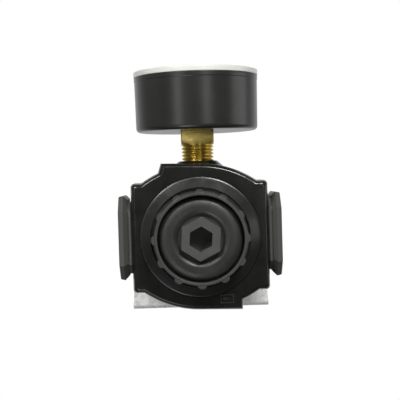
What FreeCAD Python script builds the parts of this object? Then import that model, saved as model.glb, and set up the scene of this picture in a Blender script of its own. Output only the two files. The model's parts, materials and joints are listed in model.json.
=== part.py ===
import FreeCAD, Part
import math
import os

os.makedirs("parts", exist_ok=True)

# Compressed-gas pressure regulator, millimetres.
# Everything is drawn about the point where the port axis crosses the valve axis:
# X runs through the ports from inlet to outlet, Y points back to the wall, Z points up to the knob.
# export() then moves each piece so that the middle of the two wall slots is the origin.

# Wall bracket
WALL_Y = 35.8
SLOT_Z = 57.0
SLOT_X = 21.0
SLOT_WIDTH = 5.5
SLOT_LENGTH = 10.0
SHEET = 2.0
SHOULDER_Z = 34.0

# Body casting
BODY_HALF_WIDTH = 27.8
BODY_BOTTOM = -17.0
SHOULDER_Y = 22.3
BULGE_RADIUS = 40.4
BULGE_CENTRE = 10.65
LUG_Y = 30.1
REAR_LUG_X = 16.5
REAR_LUG_FOOT_X = 16.9
FRONT_LUG_X = 15.4
FRONT_LUG_FOOT_X = 16.6
RECESS_RADIUS = 24.4
PLUG_THREAD_RADIUS = 17.5
BONNET_THREAD_RADIUS = 23.0
LEDGE_Z = 11.5

# Ports and clamp flanges
FLANGE_X = 33.0
FLANGE_HALF_Y = 17.2
FLANGE_HALF_Z = 16.5
FLANGE_CUT = 6.2
FLANGE_STRIP = 2.0
FLANGE_BEVEL = 1.6
NECK_HALF_Y = 14.3
NECK_HALF_Z = 13.6
NECK_CUT = 3.8
PORT_RADIUS = 7.9
PORT_FLOOR_X = 20.0
FRONT_BOSS_Y = 30.8
REAR_FACE_Y = 28.4
TAPER = 0.03125
GAUGE_PORT_RADIUS = 6.68
GAUGE_PORT_FLOOR = 18.5
PIPE_PITCH = 1.411

# Bottom plug
SKIRT_RADIUS = 24.3
SKIRT_TOP = -14.55
COLLAR_BOTTOM = -31.0
RIB_BOTTOM = -30.8
HEX_TURN = 3.5
SOCKET_FLOOR = -22.2
SPRING_FLOOR = -17.0
GUIDE_RADIUS = 3.58

# Moving parts
SCREW_RADIUS = 4.0
NUT_TOP = 42.0
RELIEF_SEAT_Z = 10.0
VALVE_SEAT_Z = -2.0

# Gauge, measured forward from the valve axis
CASE_BACK = 43.1
CASE_FRONT = 65.7
LENS_FRONT = 68.0
TUBE_RADIUS = 16.0
SECTOR_PIVOT = 10.0
PINION_TEETH = 14
SECTOR_TEETH = 84
SECTOR_SWING = 45.0
GEAR_MODULE = 2 * SECTOR_PIVOT / (PINION_TEETH + SECTOR_TEETH)
TAIL_ARM = 3.5
PILLARS = ((-7.4, -14.4), (-7.4, 4.2), (7.4, 4.2))


def vec(x, y, z):
    return FreeCAD.Vector(x, y, z)


def polygon_face(points):
    return Part.Face(Part.makePolygon([vec(*p) for p in points] + [vec(*points[0])]))


def revolve(profile, turn=360):
    """Turn a closed list of (radius, height) points about Z."""
    face = polygon_face([(r, 0, z) for r, z in profile])
    return face.revolve(vec(0, 0, 0), vec(0, 0, 1), turn)


def cylinder(radius, low, high, x=0.0, y=0.0):
    return Part.makeCylinder(radius, high - low, vec(x, y, low))


def ring(inner, outer, low, high, x=0.0, y=0.0):
    return cylinder(outer, low, high, x, y).cut(cylinder(inner, low - 1, high + 1, x, y))


def box(x, y, z):
    return Part.makeBox(x[1] - x[0], y[1] - y[0], z[1] - z[0], vec(x[0], y[0], z[0]))


def hexagon(across_flats, low, high, turn=0.0):
    corner = across_flats / math.sqrt(3)
    points = []
    for i in range(6):
        angle = math.radians(90 + turn + 60 * i)
        points.append((corner * math.cos(angle), corner * math.sin(angle), low))
    return polygon_face(points).extrude(vec(0, 0, high - low))


def around(shape, count, first=0.0):
    """Copies of one shape set evenly about Z."""
    copies = []
    for i in range(count):
        copy = shape.copy()
        copy.rotate(vec(0, 0, 0), vec(0, 0, 1), first + 360.0 * i / count)
        copies.append(copy)
    return copies


def thread(radius, low, high, pitch, depth, taper=0.0):
    """Profile points, from high to low, of an outside thread drawn as rings."""
    points = [(radius, high)]
    z = high - 0.35 * pitch
    while z - pitch > low:
        crest = radius - taper * (high - z)
        points.append((crest, z))
        points.append((crest - depth, z - 0.42 * pitch))
        points.append((crest - depth, z - 0.5 * pitch))
        points.append((crest - taper * pitch, z - 0.92 * pitch))
        z -= pitch
    points.append((radius - taper * (high - low), low))
    return points


def coil(mean_radius, wire_radius, low, high, turns):
    """A compression spring between two heights, its wire drawn with eight flats."""
    height = high - low - 2 * wire_radius
    helix = Part.makeHelix(height / turns, height, mean_radius)
    corner = wire_radius / math.cos(math.pi / 8)
    points = []
    for i in range(9):
        angle = 2 * math.pi * (i + 0.5) / 8
        points.append(vec(mean_radius + corner * math.cos(angle), 0, corner * math.sin(angle)))
    spring = Part.Wire(helix.Edges).makePipeShell([Part.makePolygon(points)], True, True)
    spring.translate(vec(0, 0, low + wire_radius))
    return spring


def torus(mean_radius, section_radius, height):
    return Part.makeTorus(mean_radius, section_radius, vec(0, 0, height))


def to_front(shape):
    """Lay a shape drawn about Z along the gauge axis, its +Z towards the front."""
    turned = shape.copy()
    turned.rotate(vec(0, 0, 0), vec(1, 0, 0), 90)
    return turned


def to_back(shape):
    turned = shape.copy()
    turned.rotate(vec(0, 0, 0), vec(1, 0, 0), -90)
    return turned


def export(name, shape):
    placed = shape.copy()
    placed.translate(vec(0, -WALL_Y, -SLOT_Z))
    placed.exportStep("parts/" + name + ".step")


# ---- body casting ---------------------------------------------------------------------------

def body_outline(inset, height):
    """The body's plan: square shoulders, two round bulges, and a lug on each bulge."""
    half = BODY_HALF_WIDTH - inset
    side = SHOULDER_Y - inset
    bulge = BULGE_RADIUS - inset
    top = LUG_Y - inset
    corner = 1.6
    joint_x = math.sqrt(bulge ** 2 - (side + BULGE_CENTRE) ** 2)

    def on_bulge(x):
        return math.sqrt(bulge ** 2 - x ** 2) - BULGE_CENTRE

    edges = []
    lugs = ((1, REAR_LUG_X, REAR_LUG_FOOT_X), (-1, FRONT_LUG_X, FRONT_LUG_FOOT_X))
    for sign, lug_x, foot_x in lugs:
        def at(x, y):
            return vec(sign * x, sign * y, height)
        lug = lug_x - inset
        foot = foot_x - inset
        near = corner * (1 - math.cos(math.pi / 4))
        edges.append(Part.makeLine(at(half, -side + corner), at(half, side - corner)))
        edges.append(Part.Arc(at(half, side - corner), at(half - near, side - near),
                              at(half - corner, side)).toShape())
        edges.append(Part.makeLine(at(half - corner, side), at(joint_x, side)))
        middle = (joint_x + foot) / 2
        foot_y = on_bulge(foot)
        edges.append(Part.Arc(at(joint_x, side), at(middle, on_bulge(middle)),
                              at(foot, foot_y)).toShape())
        edges.append(Part.makeLine(at(foot, foot_y), at(lug, top)))
        edges.append(Part.makeLine(at(lug, top), at(0, on_bulge(0))))
        middle = joint_x / 2
        edges.append(Part.Arc(at(0, on_bulge(0)), at(-middle, on_bulge(middle)),
                              at(-joint_x, side)).toShape())
        edges.append(Part.makeLine(at(-joint_x, side), at(-half + corner, side)))
        edges.append(Part.Arc(at(-half + corner, side), at(-half + near, side - near),
                              at(-half, side - corner)).toShape())
    return Part.Wire(edges)


def octagon(x, half_y, half_z, cut):
    points = [(half_y, half_z - cut), (half_y - cut, half_z), (cut - half_y, half_z),
              (-half_y, half_z - cut), (-half_y, cut - half_z), (cut - half_y, -half_z),
              (half_y - cut, -half_z), (half_y, cut - half_z)]
    return Part.makePolygon([vec(x, y, z) for y, z in points + points[:1]])


def clamp_flange(sign):
    """Dovetail flange on a short neck, for the clamp that joins modules side by side."""
    strip_x = FLANGE_X - FLANGE_STRIP
    bevel_x = strip_x - FLANGE_BEVEL
    back = (FLANGE_HALF_Y - FLANGE_BEVEL, FLANGE_HALF_Z - FLANGE_BEVEL, FLANGE_CUT - 0.5)
    widest = (FLANGE_HALF_Y, FLANGE_HALF_Z, FLANGE_CUT)
    sloped = (FLANGE_HALF_Y - 0.3, FLANGE_HALF_Z - 0.6, FLANGE_CUT - 0.1)
    edge = (FLANGE_HALF_Y - 0.6, FLANGE_HALF_Z - 1.0, FLANGE_CUT - 0.2)
    sections = [(bevel_x, back), (strip_x, widest), (FLANGE_X - 0.3, sloped), (FLANGE_X, edge)]
    parts = []
    for (inner_x, inner), (outer_x, outer) in zip(sections, sections[1:]):
        parts.append(Part.makeLoft([octagon(sign * inner_x, *inner), octagon(sign * outer_x, *outer)],
                                   True, True))
    neck = Part.makeLoft([octagon(sign * 24, NECK_HALF_Y + 0.8, NECK_HALF_Z + 1.0, NECK_CUT),
                          octagon(sign * (bevel_x + 0.6), NECK_HALF_Y, NECK_HALF_Z, NECK_CUT)], True, True)
    return neck.fuse(parts)


def along_x(shape, sign):
    turned = shape.copy()
    turned.rotate(vec(0, 0, 0), vec(0, 1, 0), 90 * sign)
    return turned


def make_body():
    levels = [(-17.0, 2.0), (-16.7, 1.3), (-16.0, 0.7), (-14.5, 0.2), (0.0, 0.0),
              (14.5, 0.2), (16.0, 0.7), (16.7, 1.3), (17.0, 2.0)]
    outside = []
    for (low, low_inset), (high, high_inset) in zip(levels, levels[1:]):
        outside.append(Part.makeLoft([body_outline(low_inset, low), body_outline(high_inset, high)],
                                     True, True))
    gauge_boss = revolve([(0, 20), (10.4, 20), (10.4, 28.6), (8.4, FRONT_BOSS_Y - 0.3),
                          (7.8, FRONT_BOSS_Y), (0, FRONT_BOSS_Y)])
    solid = outside[0].fuse(outside[1:] + [clamp_flange(1), clamp_flange(-1), to_front(gauge_boss)])

    # Bottom: recess for the plug's skirt, threaded bore and inlet chamber
    cuts = [cylinder(RECESS_RADIUS, -20, SKIRT_TOP + 0.05)]
    cuts.append(cylinder(PLUG_THREAD_RADIUS, -15, -8))
    cuts.append(cylinder(9.5, -9, VALVE_SEAT_Z))
    cuts.append(box((-PORT_FLOOR_X - 1, -8), (-4.5, 4.5), (-6.4, -2.4)))
    # Top: outlet well, diaphragm chamber and the bonnet's threaded bore
    cuts.append(cylinder(6.5, -3, 1))
    cuts.append(cylinder(9.0, 0, 10))
    cuts.append(cylinder(18.0, 8.8, 12))
    cuts.append(cylinder(BONNET_THREAD_RADIUS, LEDGE_Z, 18))
    cuts.append(box((8, PORT_FLOOR_X + 1), (-4.0, 4.0), (0.4, 6.6)))
    # Side ports with a lead-in and a face groove for the module seal
    port = revolve([(0, PORT_FLOOR_X), (PORT_RADIUS, PORT_FLOOR_X), (PORT_RADIUS, FLANGE_X - 0.9),
                    (PORT_RADIUS + 0.9, FLANGE_X), (PORT_RADIUS + 0.9, FLANGE_X + 1), (0, FLANGE_X + 1)])
    groove = ring(10.4, 12.8, FLANGE_X - 1.6, FLANGE_X + 1)
    for sign in (1, -1):
        cuts.append(along_x(port, sign))
        cuts.append(along_x(groove, sign))
    # Front and rear gauge ports, tapered, with a small drilled way to the outlet well
    sense_way = cylinder(1.2, 8, 20)
    for turn, face_y in ((to_front, FRONT_BOSS_Y), (to_back, REAR_FACE_Y)):
        floor_radius = GAUGE_PORT_RADIUS - TAPER * (face_y - GAUGE_PORT_FLOOR)
        cuts.append(turn(revolve([(0, GAUGE_PORT_FLOOR), (floor_radius, GAUGE_PORT_FLOOR),
                                  (GAUGE_PORT_RADIUS, face_y), (GAUGE_PORT_RADIUS, face_y + 2),
                                  (0, face_y + 2)])))
        way = turn(sense_way)
        way.translate(vec(0, 0, 3.5))
        cuts.append(way)
    cuts.append(to_back(cylinder(8.2, REAR_FACE_Y, REAR_FACE_Y + 3)))
    solid = solid.cut(cuts)

    # Flow arrow in a frame, moulded on the underside
    raised = BODY_BOTTOM - 0.45
    frame = box((7.2, 12.8), (23.2, 27.0), (raised, BODY_BOTTOM + 0.1))
    frame = frame.cut(box((7.8, 12.2), (23.8, 26.4), (raised - 1, BODY_BOTTOM)))
    arrow = polygon_face([(8.3, 24.2, raised), (8.3, 26.0, raised), (11.8, 25.1, raised)])
    arrow = arrow.extrude(vec(0, 0, BODY_BOTTOM + 0.1 - raised))
    return solid.fuse([frame, arrow])


# ---- bottom plug and valve ------------------------------------------------------------------

def make_bottom_plug():
    skirt = [(SKIRT_RADIUS, SKIRT_TOP), (SKIRT_RADIUS, -16.9), (24.05, -17.2), (23.5, -17.35),
             (20.0, -19.9), (20.0, -18.2), (18.2, -18.2)]
    collar = [(18.2, COLLAR_BOTTOM + 0.3), (17.9, COLLAR_BOTTOM), (17.2, COLLAR_BOTTOM),
              (16.95, COLLAR_BOTTOM + 0.2), (16.95, -25.4)]
    dome = [(16.6, -25.4), (16.55, -27.2), (16.2, -27.9), (15.5, -28.4), (14.2, -28.85), (12.6, -29.15),
            (11.4, -29.15), (10.6, -28.95), (9.7, -28.5), (8.8, -27.9), (7.4, -27.2)]
    inside = [(0, -27.2), (0, SPRING_FLOOR), (6.3, SPRING_FLOOR), (6.3, -8.3)]
    top = [(16.9, -8.3), (17.1, -8.5), (17.1, -9.4), (15.9, -9.4), (15.9, -11.4), (17.4, -11.4)]
    shank = thread(17.4, SKIRT_TOP, -11.4, 1.0, 0.5)
    plug = revolve(skirt + collar + dome + inside + top + shank[1:])
    rib = polygon_face([(17.8, -1.9, RIB_BOTTOM), (18.6, -1.6, RIB_BOTTOM), (19.4, -0.8, RIB_BOTTOM),
                        (19.4, 0.8, RIB_BOTTOM), (18.6, 1.6, RIB_BOTTOM), (17.8, 1.9, RIB_BOTTOM)])
    rib = rib.extrude(vec(0, 0, -18.0 - RIB_BOTTOM))
    plug = plug.fuse(around(rib, 12, 90.0))
    plug = plug.fuse(hexagon(15.0, COLLAR_BOTTOM, -24.6, HEX_TURN))
    socket = hexagon(8.7, -32, SOCKET_FLOOR, HEX_TURN)
    guide = cylinder(GUIDE_RADIUS, SOCKET_FLOOR + 1.6, SPRING_FLOOR + 1)
    return plug.cut([socket, guide])


def make_valve_poppet():
    profile = [(0, -19.0), (3.2, -19.0), (3.5, -18.7), (3.5, -18.35), (2.7, -18.35), (2.7, -17.25),
               (3.5, -17.25), (3.5, -6.2), (6.2, -6.2), (6.2, -2.9), (5.6, -2.9), (5.6, -3.6),
               (1.6, -3.6), (1.6, 9.4), (1.2, RELIEF_SEAT_Z), (0, RELIEF_SEAT_Z)]
    return revolve(profile)


def make_valve_seat():
    return revolve([(3.6, VALVE_SEAT_Z), (4.4, VALVE_SEAT_Z), (4.8, VALVE_SEAT_Z + 0.6),
                    (6.45, VALVE_SEAT_Z + 0.6), (6.45, 0.0), (7.8, 0.0), (7.8, 1.0), (3.6, 1.0)])


# ---- diaphragm group ------------------------------------------------------------------------

def make_diaphragm():
    thick = 1.2
    low = LEDGE_Z
    fold = []
    for i in range(9):
        angle = math.pi * i / 8
        fold.append((16.9 + 1.1 * math.cos(angle), low + 1.3 * math.sin(angle)))
    under = [(22.6, low), (18.6, low)] + fold + [(3.15, low)]
    outer_fold = [(16.9 - 1.9 * math.cos(math.pi * i / 8), low + thick + 1.5 * math.sin(math.pi * i / 8))
                  for i in range(9)]
    over = [(3.15, low + thick)] + outer_fold + [(22.6, low + thick)]
    return revolve(under + over)


def make_diaphragm_plate():
    return revolve([(3.15, 12.7), (14.4, 12.7), (14.4, 14.2), (7.4, 14.2), (7.2, 16.2), (4.6, 16.2),
                    (4.6, 14.6), (3.15, 14.6)])


def make_relief_seat():
    return revolve([(0.9, RELIEF_SEAT_Z), (6.5, RELIEF_SEAT_Z), (7.0, RELIEF_SEAT_Z + 0.5), (7.0, LEDGE_Z),
                    (3.1, LEDGE_Z), (3.1, 14.6), (3.8, 14.7), (3.6, 15.4), (0.9, 15.4)])


# ---- bonnet, adjusting screw and knob -------------------------------------------------------

def make_bonnet():
    outside = thread(22.9, 12.75, 17.0, 1.5, 0.7)
    outside = [(24.6, 19.6), (24.9, 19.2), (24.9, 17.4), (24.6, 17.0)] + outside
    wall = [(14.6, 46.0), (6.1, 46.0), (6.1, 49.0), (15.6, 49.0), (16.0, 48.6), (16.0, 43.2)]
    neck = thread(19.95, SHOULDER_Z, 43.2, 1.5, 0.8)
    skirt = [(23.6, SHOULDER_Z), (24.2, 33.4), (24.2, 19.6)]
    inside = [(19.6, 12.75), (19.6, 15.6), (14.6, 20.4)]
    bonnet = revolve(wall + neck + skirt + outside + inside)
    slot = box((13, 16.1), (-2.6, 2.6), (12, 41.0))
    flute = cylinder(1.3, 20.4, 32.6, 24.9, 0)
    vent = to_front(cylinder(1.2, 10, 30))
    vent.translate(vec(0, 0, 27))
    notch = cylinder(0.35, 45.4, 50, 16.05, 0)
    return bonnet.cut(around(slot, 2) + around(flute, 24, 7.5) + [vent] + around(notch, 36))


def make_adjusting_screw():
    shank = thread(SCREW_RADIUS, 21.4, 43.0, 1.5, 0.8)
    screw = revolve([(0, 53.0), (6.0, 49.0), (6.0, 45.0), (9.0, 45.0), (9.0, 43.0)] + shank
                    + [(3.4, 20.8), (0, 20.8)])
    head = hexagon(10.0, 48.0, 61.0)
    bolt_hole = cylinder(2.05, 53.0, 62)
    return screw.fuse(head).common(cylinder(9.0, 20, 61)).cut(bolt_hole)


def make_adjusting_nut():
    nut = revolve([(4.06, 33.0), (7.0, 33.0), (7.2, 36.0), (13.4, 36.0), (13.8, 36.4), (13.8, 38.6),
                   (8.5, NUT_TOP), (4.06, NUT_TOP)])
    lug = box((12.5, 15.8), (-2.45, 2.45), (36.0, 39.0))
    return nut.fuse(around(lug, 2))


def make_knob():
    knob = revolve([(16.65, 43.8), (18.2, 43.8), (18.5, 44.1), (18.5, 62.6), (17.9, 64.6), (16.4, 66.0),
                    (12.0, 66.0), (12.0, 64.4), (7.0, 64.4), (7.0, 58.0), (0, 58.0), (0, 50.6), (8.4, 50.6),
                    (8.4, 60.6), (14.4, 60.6), (14.4, 51.4), (16.65, 51.4)])
    knob = knob.cut(hexagon(10.12, 50, 59))
    scallop = cylinder(1.5, 45.6, 67, 19.35, 0)
    tooth = cylinder(0.3, 44.6, 48.4, 16.72, 0)
    return knob.cut(around(scallop, 24)).fuse(around(tooth, 36, 5.0))


def make_knob_screw():
    return cylinder(2.0, 54.0, 61.0).fuse(cylinder(6.4, 61.0, 63.0)).cut(hexagon(3.0, 61.6, 64))


def make_knob_cap():
    return revolve([(0, 64.4), (11.9, 64.4), (11.9, 65.8), (11.6, 66.1), (10.4, 66.1), (10.0, 65.7),
                    (0, 65.7)])


def make_panel_nut():
    nut = revolve([(20.02, 36.4), (20.4, 36.0), (25.0, 36.0), (25.5, 36.5), (25.5, 41.3), (24.8, 42.0),
                   (20.6, 42.0), (20.02, 41.4)])
    notch = box((24.0, 27), (-2.4, 2.4), (35, 43))
    return nut.cut(around(notch, 8, 22.5))


# ---- wall bracket and port plug -------------------------------------------------------------

def make_bracket():
    bend = 3.0
    rear = WALL_Y - bend
    plate = polygon_face([(-30.2, 12, 34), (30.2, 12, 34), (30.7, rear, 34), (-30.7, rear, 34)])
    plate = plate.extrude(vec(0, 0, SHEET))
    plate = plate.fuse(cylinder(26.6, SHOULDER_Z, SHOULDER_Z + SHEET))
    plate = plate.fuse(box((-26.6, 26.6), (0, 14), (SHOULDER_Z, SHOULDER_Z + SHEET)))
    curve = Part.makeCylinder(bend, 62.0, vec(-31.0, rear, SHOULDER_Z + bend), vec(1, 0, 0))
    inner_bend = Part.makeCylinder(bend - SHEET, 65.0, vec(-32.5, rear, SHOULDER_Z + bend), vec(1, 0, 0))
    curve = curve.cut(inner_bend)
    curve = curve.common(box((-32, 32), (rear, rear + 4), (SHOULDER_Z - 1, SHOULDER_Z + bend)))
    wall_low = SHOULDER_Z + bend
    wall = polygon_face([(-31.0, WALL_Y, wall_low), (31.0, WALL_Y, wall_low), (31.0, WALL_Y, 66),
                         (27.0, WALL_Y, 70), (-27.0, WALL_Y, 70), (-31.0, WALL_Y, 66)])
    wall = wall.extrude(vec(0, -SHEET, 0))
    cuts = [cylinder(20.3, 30, 40)]
    reach = (SLOT_LENGTH - SLOT_WIDTH) / 2
    for side in (1, -1):
        for end in (1, -1):
            cuts.append(Part.makeCylinder(SLOT_WIDTH / 2, 6, vec(side * SLOT_X + end * reach, 32, SLOT_Z),
                                          vec(0, 1, 0)))
        cuts.append(box((side * SLOT_X - reach, side * SLOT_X + reach), (32, 38),
                        (SLOT_Z - SLOT_WIDTH / 2, SLOT_Z + SLOT_WIDTH / 2)))
    return plate.fuse([curve, wall]).removeSplitter().cut(cuts)


def make_rear_port_plug():
    mouth = GAUGE_PORT_RADIUS - 0.04
    face = REAR_FACE_Y - 0.2
    plug = revolve([(0, 19.5), (mouth - TAPER * (REAR_FACE_Y - 19.5) - 0.4, 19.5),
                    (mouth - TAPER * (REAR_FACE_Y - 19.9), 19.9), (mouth - TAPER * 0.6, face - 0.4),
                    (mouth - 0.5, face), (0, face)])
    return to_back(plug.cut(hexagon(6.35, face - 6.0, face + 1)))


# ---- pressure gauge, drawn about Z with +Z towards the front and Y up --------------------------

def make_gauge_stem():
    crest = 6.85
    block_back = 37.7
    outside = thread(crest, 20.0, block_back, PIPE_PITCH, 0.78, TAPER)
    stem = revolve([(0, block_back)] + outside + [(0, 20.0)])
    turned = revolve([(0, block_back), (7.3, block_back), (9.3, block_back + 1.1), (9.3, CASE_BACK - 0.25),
                      (9.0, CASE_BACK), (0, CASE_BACK)])
    square = box((-6.75, 6.75), (-6.75, 6.75), (block_back, CASE_BACK)).common(turned)
    neck = cylinder(6.8, CASE_BACK, 44.7)
    socket = box((-13.0, 13.0), (-4.5, 4.5), (44.65, 53.0))
    leg = box((-4.5, 4.5), (-18.6, 4.5), (44.65, 53.0))
    stem = stem.fuse([square, neck, socket, leg])
    cuts = [cylinder(1.6, 19, 50.6), tube_solid(0.0, 274.5, 250.0)]
    cuts.append(Part.makeCylinder(0.9, 16.0, vec(0.4, 0, 50), vec(0, -1, 0)))
    for side in (1, -1):
        cuts.append(cylinder(1.25, 44, 50.5, 10.0 * side, 0))
    return stem.cut(cuts)


def tube_solid(wall, start, end):
    """The flattened tube's outside (wall 0) or its hollow, between two angles in degrees."""
    half_thick = 1.1 - wall
    half_width = 2.7 - wall
    section = Part.Ellipse(vec(0, 0, 0), half_width, half_thick).toShape()
    face = Part.Face(Part.Wire([section]))
    face.rotate(vec(0, 0, 0), vec(1, 0, 0), 90)
    face.rotate(vec(0, 0, 0), vec(0, 1, 0), 90)
    face.translate(vec(TUBE_RADIUS, 0, 50.0))
    face.rotate(vec(0, 0, 0), vec(0, 0, 1), end)
    return face.revolve(vec(0, 0, 0), vec(0, 0, 1), start - end)


def make_bourdon_tube():
    outside = tube_solid(0.0, 269.5, -32.0)
    return outside.cut(tube_solid(0.35, 270.0, -31.0))


def tip_pin_place():
    rest = math.radians(270 - SECTOR_SWING / 2)
    tail_y = -SECTOR_PIVOT + TAIL_ARM * math.sin(rest)
    return 10.66, tail_y


def tail_pin_place():
    rest = math.radians(270 - SECTOR_SWING / 2)
    return TAIL_ARM * math.cos(rest), -SECTOR_PIVOT + TAIL_ARM * math.sin(rest)


def make_tube_tip():
    angle = math.radians(-32.0)
    x = TUBE_RADIUS * math.cos(angle)
    y = TUBE_RADIUS * math.sin(angle)
    pin_x, pin_y = tip_pin_place()
    length = math.hypot(pin_x - x, pin_y - y) + 1.4
    bar = box((0, length), (-1.3, 1.3), (47.2, 52.8))
    bar.rotate(vec(0, 0, 0), vec(0, 0, 1), math.degrees(math.atan2(pin_y - y, pin_x - x)))
    bar.translate(vec(x, y, 0))
    return bar.cut(tube_solid(0.0, 0.0, -32.0)).fuse(cylinder(0.6, 52.0, 56.0, pin_x, pin_y))


def movement_plate(low, high, arbor_hole, sector_hole):
    plate = box((-9.0, 9.0), (-16.2, 6.0), (low, high))
    corner = box((4.6, 10.0), (-17.0, -8.6), (low - 1, high + 1))
    cuts = [corner, cylinder(arbor_hole, low - 1, high + 1),
            cylinder(sector_hole, low - 1, high + 1, 0, -SECTOR_PIVOT)]
    for x, y in PILLARS:
        cuts.append(cylinder(0.62, low - 1, high + 1, x, y))
    return plate.cut(cuts)


def make_pillars():
    """Shouldered spacers whose spigots pass through both movement plates."""
    posts = []
    for x, y in PILLARS:
        post = cylinder(1.1, 54.0, 58.6, x, y).fuse(cylinder(0.6, 53.05, 59.7, x, y))
        posts.append(post)
    return Part.makeCompound(posts)


def gear_face(teeth, module, first, count, height, bore):
    """Involute teeth on part or all of a wheel, as a flat face centred on the origin."""
    pitch = module * teeth / 2
    base = pitch * math.cos(math.radians(20))
    tip = pitch + 0.8 * module
    root = pitch - 1.15 * module

    def roll(radius):
        if radius <= base:
            return 0.0
        tangent = math.sqrt((radius / base) ** 2 - 1)
        return tangent - math.atan(tangent)

    half = 0.86 * math.pi / (2 * teeth)
    radii = [root] + [max(base, root) + (tip - max(base, root)) * i / 5 for i in range(6)]
    outline = []
    for index in range(count):
        centre = math.radians(first) + 2 * math.pi * index / teeth
        flank = [(r, half + roll(pitch) - roll(r)) for r in radii]
        for r, angle in flank:
            outline.append((r * math.cos(centre - angle), r * math.sin(centre - angle), height))
        for r, angle in reversed(flank):
            outline.append((r * math.cos(centre + angle), r * math.sin(centre + angle), height))
    if count < teeth:
        last = math.radians(first) + 2 * math.pi * (count - 1) / teeth + half * 1.6
        start = math.radians(first) - half * 1.6
        inner = bore
        outline.append((inner * math.cos(last), inner * math.sin(last), height))
        outline.append((inner * math.cos(start), inner * math.sin(start), height))
    return polygon_face(outline)


def make_pinion_arbor():
    # One tooth points straight down at the sector, whose rim has a gap there
    wheel = gear_face(PINION_TEETH, GEAR_MODULE, -90.0, PINION_TEETH, 54.8, 0.0).extrude(vec(0, 0, 2.2))
    arbor = cylinder(0.55, 53.1, 65.0).fuse(cylinder(1.0, 57.4, 58.2))
    return wheel.fuse(arbor)


def make_sector_gear():
    step = 360.0 / SECTOR_TEETH
    count = 14
    rest_middle = 90.0 - SECTOR_SWING / 2
    low_tooth = 90.0 + step / 2 - step * round((90.0 + step / 2 - rest_middle) / step + (count - 1) / 2)
    rim = gear_face(SECTOR_TEETH, GEAR_MODULE, low_tooth, count, 55.5, 2.2)
    plate = rim.extrude(vec(0, 0, 0.8))
    window = polygon_face([(3.2, 0.6, 55), (6.6, 1.5, 55), (6.6, -1.5, 55), (3.2, -0.6, 55)])
    window = window.extrude(vec(0, 0, 2))
    window.rotate(vec(0, 0, 0), vec(0, 0, 1), rest_middle)
    hub = cylinder(2.6, 55.5, 56.3)
    tail = box((-1.2, 1.2), (0, TAIL_ARM), (55.5, 56.3)).fuse(cylinder(1.2, 55.5, 56.3, 0, TAIL_ARM))
    tail = tail.fuse(cylinder(0.5, 54.4, 56.4, 0, TAIL_ARM))
    tail.rotate(vec(0, 0, 0), vec(0, 0, 1), rest_middle + 90.0)
    arbor = cylinder(0.55, 53.2, 59.2)
    boss = cylinder(1.1, 56.3, 58.4)
    sector = plate.cut(window).fuse([hub, tail, arbor, boss])
    sector.translate(vec(0, -SECTOR_PIVOT, 0))
    return sector


def make_link():
    tail_x, tail_y = tail_pin_place()
    pin_x, pin_y = tip_pin_place()
    reach = pin_x - tail_x
    travel = 2 * TAIL_ARM * math.sin(math.radians(SECTOR_SWING / 2))
    bar = box((0, reach - travel), (-0.7, 0.7), (54.6, 55.2))
    far = reach - travel - 0.3
    head = box((far, reach + 0.3), (-1.75, 1.75), (54.6, 55.2))
    head = head.fuse([cylinder(1.75, 54.6, 55.2, far, 0), cylinder(1.75, 54.6, 55.2, reach + 0.3, 0)])
    link = bar.fuse([head, cylinder(1.2, 54.6, 55.2)])
    slot = box((far, reach + 0.3), (-1.0, 1.0), (54, 56))
    slot = slot.fuse([cylinder(1.0, 54, 56, far, 0), cylinder(1.0, 54, 56, reach + 0.3, 0)])
    link = link.cut([cylinder(0.55, 54, 56), slot])
    link.translate(vec(tail_x, tail_y, 0))
    return link


def make_hairspring():
    """Flat spiral, its outer end held in a stud on the back plate."""
    turns = 4.0
    steps = 128
    inner = []
    outer = []
    for i in range(steps + 1):
        share = i / steps
        angle = math.radians(60.0) + 2 * math.pi * turns * share
        radius = 1.25 + 3.2 * share
        inner.append((radius * math.cos(angle), radius * math.sin(angle), 57.5))
        outer.append(((radius + 0.2) * math.cos(angle), (radius + 0.2) * math.sin(angle), 57.5))
    ribbon = polygon_face(inner + outer[::-1]).extrude(vec(0, 0, 0.55))
    end = math.radians(60.0)
    stud = cylinder(0.5, 54.0, 58.3, 5.16 * math.cos(end), 5.16 * math.sin(end))
    return ribbon, stud


def make_gauge_case():
    profile = [(6.9, CASE_BACK), (23.6, CASE_BACK), (24.6, CASE_BACK + 0.3), (25.15, CASE_BACK + 1.0),
               (25.3, CASE_BACK + 2.0), (25.6, 63.7), (25.72, 63.9), (25.75, CASE_FRONT - 0.2),
               (25.6, CASE_FRONT), (24.3, CASE_FRONT), (24.3, 61.6), (23.2, 61.6), (23.2, 46.2),
               (22.2, 44.6), (6.9, 44.6)]
    holes = []
    for side in (1, -1):
        sink = Part.makeCone(3.0, 1.6, 1.4, vec(10.0 * side, 0, CASE_BACK))
        holes.append(sink.fuse(cylinder(1.6, CASE_BACK, 46, 10.0 * side, 0)))
    return revolve(profile).cut(holes)


def make_case_screws():
    screws = []
    for side in (1, -1):
        head = Part.makeCone(2.9, 1.5, 1.35, vec(10.0 * side, 0, CASE_BACK + 0.02))
        shank = cylinder(1.2, CASE_BACK + 1.2, 49.5, 10.0 * side, 0)
        slot = box((10.0 * side - 0.35, 10.0 * side + 0.35), (-3, 3), (CASE_BACK - 1, CASE_BACK + 0.6))
        screws.append(head.fuse(shank).cut(slot))
    return Part.makeCompound(screws)


def make_dial():
    return ring(1.6, 24.2, 61.6, 62.1)


def make_stop_pin():
    angle = math.radians(233.0)
    x = 13.0 * math.cos(angle)
    y = 13.0 * math.sin(angle)
    return cylinder(0.45, 62.1, 64.6, x, y)


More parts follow.
